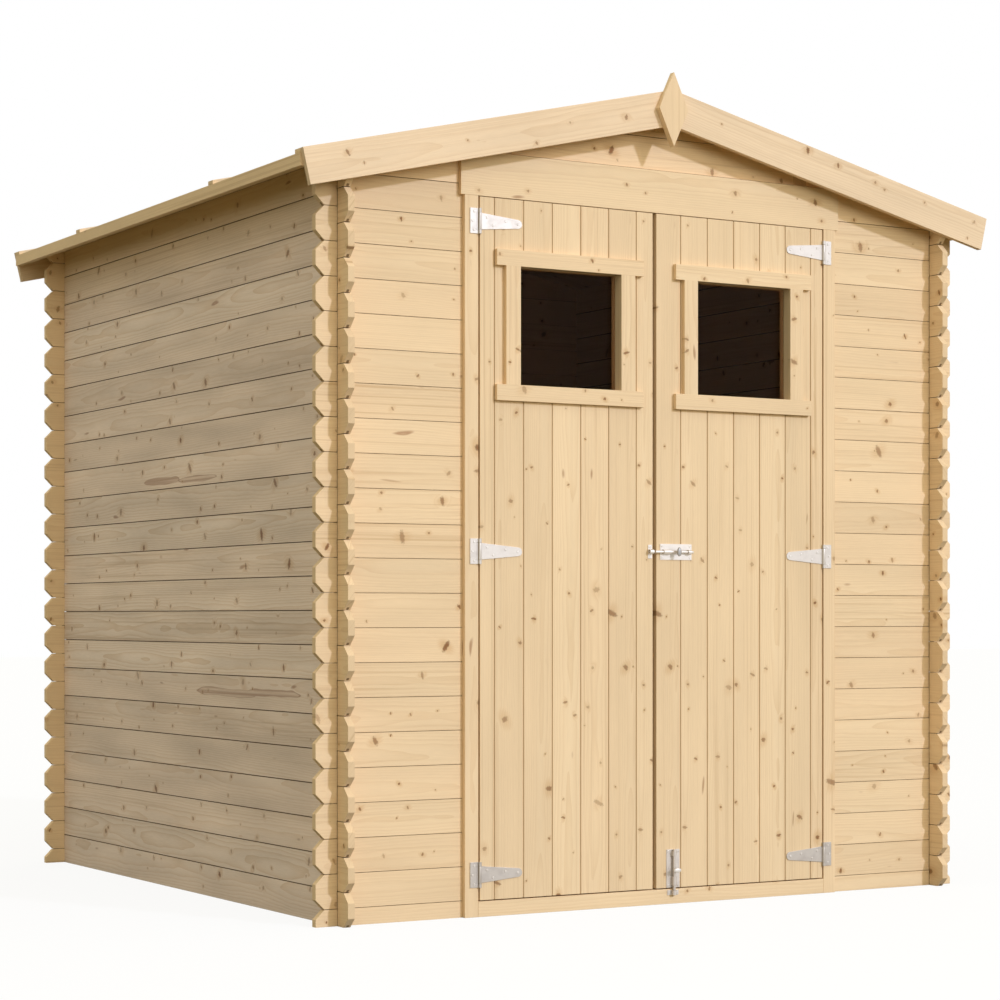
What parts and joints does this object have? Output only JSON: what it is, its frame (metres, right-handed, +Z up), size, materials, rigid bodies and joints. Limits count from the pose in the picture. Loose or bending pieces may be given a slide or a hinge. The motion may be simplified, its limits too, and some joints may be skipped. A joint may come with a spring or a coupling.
{
  "type": "wooden garden shed",
  "caption": "Small garden shed of interlocking notched log boards, with a pitched felt roof and outward opening glazed double doors held by barrel bolts.",
  "frame": {"origin": "on the ground at the middle of the plan", "axes": "+X to the right seen from the front, +Y to the back, +Z up; the doors face -Y"},
  "size_m": [2.194, 2.1196, 2.2262],
  "materials": {
    "wall_pine": "planed, untreated",
    "door_pine": "planed, untreated",
    "trim_pine": "planed, untreated",
    "roof_pine": "planed, untreated",
    "floor_pine": "planed, untreated",
    "roofing_felt": "mineral faced, matte",
    "window_glass": "clear",
    "galvanised_steel": "zinc plated"
  },
  "bodies": {
    "shed": {"left_wall": "wall_pine", "right_wall": "wall_pine", "rear_wall": "wall_pine", "front_wall_left": "wall_pine", "front_wall_right": "wall_pine", "front_gable": "wall_pine", "left_door_jamb": "trim_pine", "right_door_jamb": "trim_pine", "door_head": "trim_pine", "door_sill": "trim_pine", "door_header": "trim_pine", "ridge_purlin": "roof_pine", "side_purlins": "roof_pine", "left_roof_boards": "roof_pine", "right_roof_boards": "roof_pine", "left_roof_felt": "roofing_felt", "right_roof_felt": "roofing_felt", "roof_battens": "trim_pine", "eave_strips": "trim_pine", "front_bargeboards": "trim_pine", "rear_bargeboards": "trim_pine", "front_finial": "trim_pine", "rear_finial": "trim_pine", "floor_bearers": "floor_pine", "floor_boards": "floor_pine", "left_hinge_plates": "galvanised_steel", "right_hinge_plates": "galvanised_steel", "sill_keeper": "galvanised_steel"},
    "left_door": {"left_door_boards": "door_pine", "left_door_ledges": "door_pine", "left_window_trim": "trim_pine", "left_window_glass": "window_glass", "left_window_frame": "trim_pine", "left_hinge_straps": "galvanised_steel", "latch_keeper": "galvanised_steel"},
    "right_door": {"right_door_boards": "door_pine", "right_door_ledges": "door_pine", "right_window_trim": "trim_pine", "right_window_glass": "window_glass", "right_window_frame": "trim_pine", "right_hinge_straps": "galvanised_steel", "latch_plate": "galvanised_steel", "foot_bolt_plate": "galvanised_steel"},
    "latch_bolt": {"latch_bolt": "galvanised_steel"},
    "foot_bolt": {"foot_bolt": "galvanised_steel"}
  },
  "joints": [
    {"name": "left_door_hinge", "type": "hinge", "parent": "shed", "child": "left_door", "pos_m": [-0.5625, -0.9835, 1], "axis": [0, 0, -1], "range_deg": [0, 165]},
    {"name": "right_door_hinge", "type": "hinge", "parent": "shed", "child": "right_door", "pos_m": [0.5505, -0.9835, 1], "axis": [0, 0, 1], "range_deg": [0, 165]},
    {"name": "latch_bolt_slide", "type": "slide", "parent": "right_door", "child": "latch_bolt", "axis": [1, 0, 0], "range_m": [0, 0.03]},
    {"name": "foot_bolt_slide", "type": "slide", "parent": "right_door", "child": "foot_bolt", "axis": [0, 0, 1], "range_m": [0, 0.018]}
  ]
}
